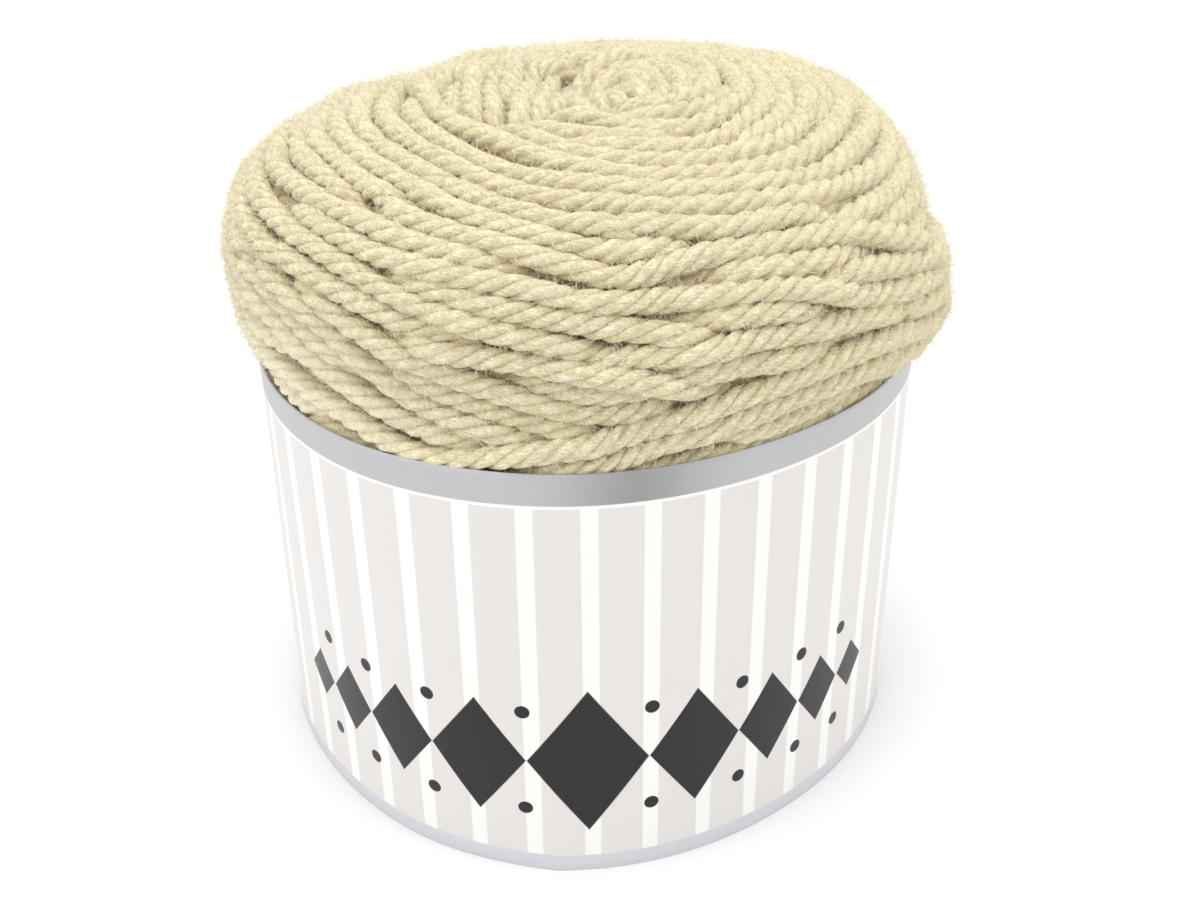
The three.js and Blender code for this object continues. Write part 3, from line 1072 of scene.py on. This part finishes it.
def strand_rows(lay, rng, step, fluff):
    """The columns that sweep() takes, for one settled lay, thicker by fluff on the fluffed-up side."""
    data = np.concatenate([lay.points, lay.lies[:, None]], 1)
    rows = finer(data, step)
    n = len(rows)
    along = np.arange(n) * step
    wave = sum(rng.normal(0, 1) * np.sin(along * TAU / w + rng.uniform(0, TAU)) for w in THICK_WAVES) / 2.0
    thick = STRAND_RADIUS * (0.99 + THICK_PLAY * wave)
    loose = sum(rng.normal(0, 1) * np.sin(along * TAU / w + rng.uniform(0, TAU)) for w in TWIST_WAVES)
    twist = TWIST_SIGN * (TAU * along / PLY_PITCH + TWIST_PLAY * loose) + rng.uniform(0, TAU)
    fluffy = np.clip((rows[:, 0] + 0.6 * rows[:, 1] + 15) / 50, 0, 1)
    fluffy = fluffy * np.clip((rows[:, 2] - 65) / 25, 0.4, 1)
    upper_left = np.clip((-rows[:, 0] - 8) / 24, 0, 1) * np.clip((rows[:, 1] + 24) / 26, 0, 1)
    fluffy = np.maximum(fluffy, upper_left * np.clip((rows[:, 2] - 80) / 14, 0, 1))
    thick = thick * (1 + fluff * fluffy)
    end = np.minimum(along, along[::-1])
    thick = thick * (0.55 + 0.45 * np.clip(end / 2.5, 0, 1))
    tone = np.full(n, rng.uniform(0, 1))
    begin = rng.uniform(0, 500)
    return np.stack([*rows[:, :3].T, thick, twist, along + begin, tone, rows[:, 3]], 1)


# Finishes
def linear(*rgb):
    """A screen colour from 0 to 255 as the scene's own light values."""
    c = np.array(rgb, float) / 255
    return tuple(float(x) for x in np.where(c <= 0.04045, c / 12.92, ((c + 0.055) / 1.055) ** 2.4))


YARN_LIGHT = linear(241, 235, 209)
YARN_BODY = linear(209, 198, 161)
YARN_SHADE = linear(191, 180, 142)
# painted shade for ply valleys and deep gaps, and painted light that pales the gaps on the washed-out side
YARN_GROOVE_SHADE = linear(160, 132, 74)
YARN_GAP_SHADE = linear(194, 167, 108)
YARN_GAP_PAINTED_LIGHT = linear(250, 243, 214)
STRAY_FIBRE = linear(238, 232, 203)
FLUFF_DULL, FLUFF_BRIGHT = linear(222, 212, 178), linear(251, 247, 230)


def new_sheet(name):
    """A material and its emptied node tree."""
    material = bpy.data.materials.new(name)
    material.use_nodes = True
    material.node_tree.nodes.clear()
    return material, Sheet(material.node_tree)


def shade_with(s, sockets):
    """Ends a node tree in one shader."""
    shader = s.add("ShaderNodeBsdfPrincipled", None, sockets)
    end = s.tree.nodes.new("ShaderNodeOutputMaterial")
    s.tree.links.new(shader.socket, end.inputs["Surface"])


def yarn_finish():
    """Soft spun fibre: cream, streaked along the strand, with painted shade where plies and strands meet and
    painted light on the washed-out side.
    """
    material, s = new_sheet("spun_yarn")
    fx, fy, along = s.parts(s.attribute("fibre", "Vector"))
    groove = s.attribute("groove")
    tone = s.attribute("tone")
    hair = s.attribute("hair")
    where = s.add("ShaderNodeTexCoord", None, None, "Object")
    across, back, height = s.parts(where)
    fluffed_and_washed_out = fluffed_and_washed_out_side(across, back, height)

    # spun fibres: streaks along the strand, finer ones, and wisps
    streaks = s.noise(s.vector(fx * 1.8, fy * 1.8, along * 0.22), 2.4, 3.0, 0.65)
    fine = s.noise(s.vector(fx * 1.8, fy * 1.8, along * 0.3), 6.5, 2.0, 0.6)
    wisps = s.noise(where, 700.0, 3.0, 0.65)
    clouds = s.noise(where, 90.0, 2.0, 0.5)
    grain = (streaks - 0.5) * 1.3 + (fine - 0.5) * 1.9 + (wisps - 0.5) * 1.1
    # on the fluffed, washed-out side the streaks are weaker: painted light that evens the tone there
    grain = grain * (1.1 - fluffed_and_washed_out * 0.55) + 0.55
    low = grain.ramp(0.0, 0.5, False)
    high = grain.ramp(0.5, 1.0, False)
    colour = s.blend(high, s.blend(low, YARN_SHADE, YARN_BODY), YARN_LIGHT)
    evened = (clouds - 0.35).sum("MAXIMUM", 0.0) * 0.5 + (tone - 0.5) * 0.1 + 0.05
    colour = s.blend(evened, colour, YARN_BODY)

    # painted shade in the line between two plies, broken by fluff and fainter on the washed-out side
    broken = s.noise(where, 260.0, 1.0, 0.5).ramp(0.36, 0.56)
    groove_shade = groove.ramp(0.7, 1.0) * (broken * 0.75 + 0.15) * (1.15 - fine * 0.7) * (1.0 - fluffed_and_washed_out * 0.6)
    colour = s.blend(groove_shade.sum("MINIMUM", 1.0) * 0.75, colour, YARN_GROOVE_SHADE)

    # painted shade: what lies deep is browner; on the washed-out side painted light makes the gaps pale
    # instead
    low_lying = s.attribute("buried").ramp(0.3, 3.0, False)
    deep = low_lying * (1.0 - fluffed_and_washed_out * 0.9)
    colour = s.blend(deep * 0.55, colour, YARN_GAP_SHADE)
    colour = s.blend(low_lying * fluffed_and_washed_out * 0.7, colour, YARN_GAP_PAINTED_LIGHT)
    # painted light: the lower left, under the belly, made paler
    pale = (-across).ramp(14 * MM, 46 * MM) * (1.0 - height.ramp(76 * MM, 90 * MM))
    colour = s.blend(pale * 0.65, colour, YARN_LIGHT)

    # single fibres that lie across the plies and over the gaps
    first = (s.noise(where, 430.0, 2.0, 0.6) - 0.5).sum("ABSOLUTE")
    second = (s.noise(s.vectors("ADD", where, (0.3, 0.1, 0.2)), 560.0, 1.5, 0.6) - 0.5).sum("ABSOLUTE")
    stray = (1.0 - first.ramp(0.0, 0.035)).sum("MAXIMUM", 1.0 - second.ramp(0.0, 0.03))
    colour = s.blend(stray * (deep * 0.35 + groove_shade * 0.45 + 0.12), colour, STRAY_FIBRE)

    fluff = s.blend(hair.ramp(0.25, 0.9, False), FLUFF_DULL, FLUFF_BRIGHT)
    colour = s.blend(hair.sum("GREATER_THAN", 0.1), colour, fluff)
    relief = streaks * 0.6 + fine * 0.45 + wisps * 0.2
    shade_with(s, {
        "Base Color": colour,
        "Roughness": 0.88 - streaks * 0.12,
        "Normal": s.add("ShaderNodeBump", None, {"Strength": 0.7, "Distance": 0.0005, "Height": relief}),
        "Sheen Weight": 0.15,
        "Sheen Roughness": 0.5,
        "Sheen Tint": (1.0, 0.91, 0.72, 1.0),
        "Specular IOR Level": 0.12,
    })
    return material


FRONT_ANGLE = -math.pi / 2
CARD_START = math.radians(82.5)
CARD_FRONT = (FRONT_ANGLE + TAU - CARD_START) * BAND_RADIUS
STRIPE_PERIOD = 8.7
STRIPE_GREY = 6.3
STRIPE_SOFTNESS = 0.08
TOP_BORDER = 4.8
BASE_BORDER = 3.0
WHITE_LINE = 0.5
LINE_SOFTNESS = 0.04
LOZENGE_HEIGHT = 21.0
# each lozenge's distance from the middle one, half its width and half its height
LOZENGES = ((0.0, 9.0, 13.0), (16.5, 7.4, 10.6), (30.0, 6.0, 8.4), (41.0, 4.8, 6.4), (50.0, 3.8, 4.6))
DOTS = (9.4, 24.2, 36.2, 46.2)
DOT_RISE = 9.0
DOT_EDGE = (1.05, 1.2)


def card_ink(across, up):
    """Lozenges, the tallest in the middle and smaller to each side, with dots between them."""
    off = (across - CARD_FRONT).sum("ABSOLUTE")
    rise = (up - LOZENGE_HEIGHT).sum("ABSOLUTE")
    masks = []
    for at, wide, high in LOZENGES:
        inside = (off - at).sum("ABSOLUTE") / wide + rise / high
        masks.append(1.0 - inside.ramp(0.985, 1.015))
    for at in DOTS:
        dx, dy = off - at, rise - DOT_RISE
        masks.append(1.0 - (dx * dx + dy * dy).sum("SQRT").ramp(*DOT_EDGE))
    ink = masks[0]
    for mask in masks[1:]:
        ink = ink.sum("MAXIMUM", mask)
    return ink


def card_finish():
    """Printed label card: pale stripes between two plain borders and a row of dark lozenges."""
    material, s = new_sheet("label_print")
    across, up, face = s.parts(s.attribute("label", "Vector"))
    where = s.add("ShaderNodeTexCoord", None, None, "Object")
    mottle = s.noise(where, 300.0, 3.0, 0.6)
    fibres = s.noise(where, 2600.0, 2.0, 0.5)
    ground = linear(232, 231, 228)
    phase = (across / STRIPE_PERIOD).sum("FRACT") * STRIPE_PERIOD
    edge = (phase - STRIPE_PERIOD / 2).sum("ABSOLUTE")
    in_stripe = 1.0 - edge.ramp(STRIPE_GREY / 2 - STRIPE_SOFTNESS, STRIPE_GREY / 2 + STRIPE_SOFTNESS)
    colour = s.blend(in_stripe, ground, linear(213, 209, 207))

    # the white line, then the silvery border, darker in front with a painted reflection of a dark thing
    top_edge = BAND_HEIGHT - TOP_BORDER
    colour = s.blend(up.ramp(top_edge - WHITE_LINE - 0.05, top_edge - WHITE_LINE + 0.05), colour, ground)
    painted_reflection = (-(((across - CARD_FRONT - 7.0) / 9.0) ** 2.0)).sum("EXPONENT") * 0.75
    silver = s.blend(painted_reflection, linear(177, 177, 179), linear(128, 128, 127))
    colour = s.blend(up.ramp(top_edge - LINE_SOFTNESS, top_edge + LINE_SOFTNESS), colour, silver)
    low = 1.0 - up.ramp(BASE_BORDER - LINE_SOFTNESS, BASE_BORDER + LINE_SOFTNESS)
    colour = s.blend(low, colour, linear(196, 198, 203))

    printed = face.ramp(0.4, 0.6)
    colour = s.blend(printed, linear(238, 236, 230), colour)
    colour = s.blend(mottle.ramp(0.3, 0.7) * 0.03, colour, linear(225, 220, 210))
    ink = card_ink(across, up)
    colour = s.blend(ink * printed, colour, linear(24, 23, 24))
    relief = fibres * 0.6 + mottle * 0.8 + ink * 0.4
    shade_with(s, {
        "Base Color": colour,
        "Roughness": 0.42 - ink * 0.14 + (mottle - 0.5) * 0.06,
        "Normal": s.add("ShaderNodeBump", None, {"Strength": 0.12, "Distance": 0.0001, "Height": relief}),
        "Specular IOR Level": 0.35,
    })
    return material


# Plain meshes
def solid(name, points, faces, material):
    mesh = bpy.data.meshes.new(name)
    mesh.from_pydata([tuple(p) for p in points], [], faces)
    mesh.materials.append(material)
    mesh.update()
    mesh.polygons.foreach_set("use_smooth", [True] * len(mesh.polygons))
    piece = bpy.data.objects.new(name, mesh)
    bpy.context.scene.collection.objects.link(piece)
    return piece


def inner_wind(material):
    """The closed mass that the lays lie on."""
    inset = 6.0
    base_height = 1.6
    angles = np.radians(np.arange(0, 360, 3))
    profile = [(30.0, base_height), (44.0, 2.0), (48.0, 4.0), (50.4, 8.0)]
    profile += [(YARN_RADIUS - 1.0, z) for z in np.linspace(14, BAND_HEIGHT - 12, 8)]
    rows = []
    for r, z in profile:
        r = r + (card_swell(angles, z) if z > 5 else 0 * angles)
        rows.append(np.stack([r * np.cos(angles), r * np.sin(angles), np.full_like(angles, z)], 1))
    for course in (*np.arange(-6, 80, 2.5), 82):
        depth = inset * min(1, 0.17 + max(0, (course + 6)) / 10)
        rows.append(form.place(angles, np.full_like(angles, course), np.full_like(angles, depth))[0])
    n = len(angles)
    points = np.concatenate([[[0, 0, base_height]], *rows, [[0, 0, form.face[0, -1, 2] - inset]]]) * MM
    faces = []
    for k in range(n):
        j = (k + 1) % n
        faces.append((0, 1 + j, 1 + k))
        for i in range(len(rows) - 1):
            a, b = 1 + i * n, 1 + (i + 1) * n
            faces.append((a + k, a + j, b + j, b + k))
        last = 1 + (len(rows) - 1) * n
        faces.append((last + k, last + j, len(points) - 1))
    piece = solid("yarn_inner_wind", points, faces, material)
    mesh = piece.data
    for label, value in (("groove", 0.5), ("tone", 0.3), ("sunk", 5.0)):
        mesh.attributes.new(label, "FLOAT", "POINT").data.foreach_set(
            "value", np.full(len(points), value, np.float32)
        )
    around = np.arctan2(points[:, 1], points[:, 0])
    fibre = np.stack([np.cos(points[:, 2] * 1500), np.sin(points[:, 2] * 1500), around * 50], 1)
    mesh.attributes.new("fibre", "FLOAT_VECTOR", "POINT").data.foreach_set(
        "vector", fibre.astype(np.float32).ravel()
    )
    return piece


LAP_CLIMB = 0.47
FLAP_STAND = 0.18
CREASE = 0.55


def label_band(material):
    """One strip of card round the cake, lapped over itself at the back."""
    rng = np.random.default_rng(CARD_SEED)
    girth = TAU * BAND_RADIUS
    length = girth + LAP_LENGTH
    columns = 380
    t = np.linspace(0, length, columns)
    angle = CARD_START + t / BAND_RADIUS
    # the end climbs onto the start, and its last bit stands off a little
    climb = np.clip((t - (girth - 9)) / 8, 0, 1)
    climb = LAP_CLIMB * climb * climb * (3 - 2 * climb)
    flap = np.clip((t - (length - 6)) / 6, 0, 1) ** 2 * FLAP_STAND
    # the card's section: place off its middle, height, and 1 on the printed side
    h, tall, low_edge, top_edge = CARD_THICKNESS / 2, BAND_HEIGHT, 0.14, BAND_HEIGHT - 0.12
    outer = (low_edge, 1.5, 3.0, 6, 12, 20, 30, 40, 50, 58, 64.7, 67, 68.6, top_edge)
    section = [(h, z, 1.0) for z in outer]
    section += [(h * 0.6, tall, 1.0), (-h * 0.6, tall, 1.0)]
    section += [(-h, z, 0.0) for z in (top_edge, 64, 50, 35, 20, 8, low_edge)]
    section += [(-h * 0.6, 0.0, 0.0), (h * 0.6, 0.0, 0.0)]
    m = len(section)
    waves = [(k, rng.normal(0, 0.05), rng.uniform(0, TAU)) for k in (5, 7, 9, 13)]
    crease_at = CARD_FRONT - 5.0
    points, label = [], []
    for i in range(columns):
        edge = sum(a * math.sin(k * angle[i] + start) for k, a, start in waves)
        for off, z, face in section:
            high = z / BAND_HEIGHT
            r = BAND_RADIUS - h + float(card_swell(angle[i], z)) + off + climb[i] + flap[i]
            r += edge * (abs(high - 0.5) * 2) ** 3
            r += CREASE * math.exp(-abs(t[i] - crease_at) / 5) * max(0, 1 - z / 26) ** 2
            points.append((r * math.cos(angle[i]), r * math.sin(angle[i]), z))
            label.append((t[i], z, face))
    faces = []
    for i in range(columns - 1):
        for k in range(m):
            j = (k + 1) % m
            a, b = i * m, (i + 1) * m
            faces.append((a + k, b + k, b + j, a + j))
    faces.append(tuple(range(m)))
    faces.append(tuple(reversed(range((columns - 1) * m, columns * m))))
    piece = solid("card_band", np.array(points) * MM, faces, material)
    piece.data.attributes.new("label", "FLOAT_VECTOR", "POINT").data.foreach_set(
        "vector", np.array(label, np.float32).ravel()
    )
    return piece


# Build
FACE_CORNERS, UNDER_CORNERS = 20, 12
yarn = yarn_finish()
face_lays = wind_face()
bed_lays = wind_bed()
loosen(face_lays)
settle(face_lays + bed_lays, 90)

rng = np.random.default_rng(TWIST_SEED)
# the face's pieces, each with the course that its lays stay below
GROUPS = [
    (9, "yarn_edge_lays"),
    (17, "yarn_belly_lays"),
    (28, "yarn_side_lays"),
    (44, "yarn_shoulder_lays"),
    (99, "yarn_crown_lays"),
]
groups = {name: [] for _, name in GROUPS}
for lay in face_lays:
    middle = float(np.median(turns_of(lay.face)[1]))
    name = next(name for top, name in GROUPS if middle < top)
    groups[name].append(strand_rows(lay, rng, 0.9, fluff=0.18))
yarn_pieces = [
    sweep(name, rows, FACE_CORNERS, yarn, 0.51, 0.6, HAIRS_PER_SQUARE_METRE) for name, rows in groups.items()
]
bed_rows = [strand_rows(lay, rng, 1.4, fluff=0.35) for lay in bed_lays]
yarn_pieces.append(sweep("yarn_bed_lays", bed_rows, UNDER_CORNERS, yarn, 0.56, 0.6))


BASE_STRAND_HEIGHT = 1.8
BASE_SPACING = 3.05
FOOT_TURNS = [(47.6, 2.9), (49.4, 5.3)]


def base_lays():
    """The turns that show on the underside, and those up the foot behind the card's lower edge."""
    rows = []
    flat_turns = [(r, BASE_STRAND_HEIGHT) for r in np.arange(6.5, 45.5, BASE_SPACING)]
    for radius, z in flat_turns + FOOT_TURNS:
        n = max(24, int(TAU * radius / 1.6))
        a = rng.uniform(0, TAU) + np.linspace(0, TAU * 0.995, n)
        r = radius + 0.25 * np.sin(2 * a + rng.uniform(0, TAU))
        along = a * radius
        rows.append(np.stack([
            r * np.cos(a), r * np.sin(a), np.full(n, z), np.full(n, STRAND_RADIUS),
            TWIST_SIGN * TAU * along / PLY_PITCH, along, np.full(n, rng.uniform(0, 1)), np.full(n, 1.8),
        ], 1))
    return sweep("yarn_base_lays", rows, UNDER_CORNERS, yarn, 0.54)


yarn_pieces.append(base_lays())
yarn_pieces.append(inner_wind(yarn))
band = label_band(card_finish())

for piece in yarn_pieces:
    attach(piece, "root")
    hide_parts("yarn_cake")
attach(band, "root")
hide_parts("label_band")

# Stage
pale_floor, floor_sheet = new_sheet("pale_floor")
shade_with(floor_sheet, {"Base Color": (0.80, 0.80, 0.80, 1.0), "Roughness": 0.9})
half = 6.0
corners = [(-half, -half, 0), (half, -half, 0), (half, half, 0), (-half, half, 0)]
floor = solid("floor", corners, [(0, 1, 2, 3)], pale_floor)

world = bpy.data.worlds.new("studio")
bpy.context.scene.world = world
world.use_nodes = True
sky = Sheet(world.node_tree)
_, _, sky_rise = sky.parts(sky.add("ShaderNodeTexCoord", None, None, "Generated"))
sky_light = sky_rise.ramp(0.0, 0.9) * 0.42 + 0.77
world.node_tree.links.new(sky_light.socket, world.node_tree.nodes["Background"].inputs["Strength"])
world.node_tree.nodes["Background"].inputs["Color"].default_value = (1, 1, 1, 1)


def soft_light(name, at, aim, size, watts):
    lamp = bpy.data.lights.new(name, "AREA")
    lamp.shape = "DISK"
    lamp.size = size
    lamp.energy = watts
    holder = bpy.data.objects.new(name, lamp)
    holder.location = at
    holder.rotation_euler = (Vector(aim) - Vector(at)).to_track_quat("-Z", "Y").to_euler()
    bpy.context.scene.collection.objects.link(holder)


soft_light("key", (-0.06, -0.05, 0.90), (0, 0, 0.06), 0.45, 2.9)
soft_light("fill", (0.80, -0.35, 0.55), (0, 0, 0.07), 0.6, 1.9)
soft_light("low_fill", (-0.75, -0.45, 0.13), (0, 0, 0.08), 0.6, 1.95)

SENSOR_WIDTH = 36.0
camera = bpy.data.objects.new("camera", bpy.data.cameras.new("camera"))
bpy.context.scene.collection.objects.link(camera)
camera.data.sensor_width = SENSOR_WIDTH
camera.data.lens = FOCAL_POINTS * SENSOR_WIDTH / PICTURE_WIDTH
camera.matrix_world = Matrix.LocRotScale(
    Vector(eye * MM),
    Matrix(np.stack([eye_right, eye_up, -eye_forward], 1).tolist()).to_quaternion(),
    None,
)
camera.data.clip_start = 0.02
camera.data.clip_end = 20
bpy.context.scene.camera = camera
bpy.context.scene.view_settings.view_transform = "Standard"
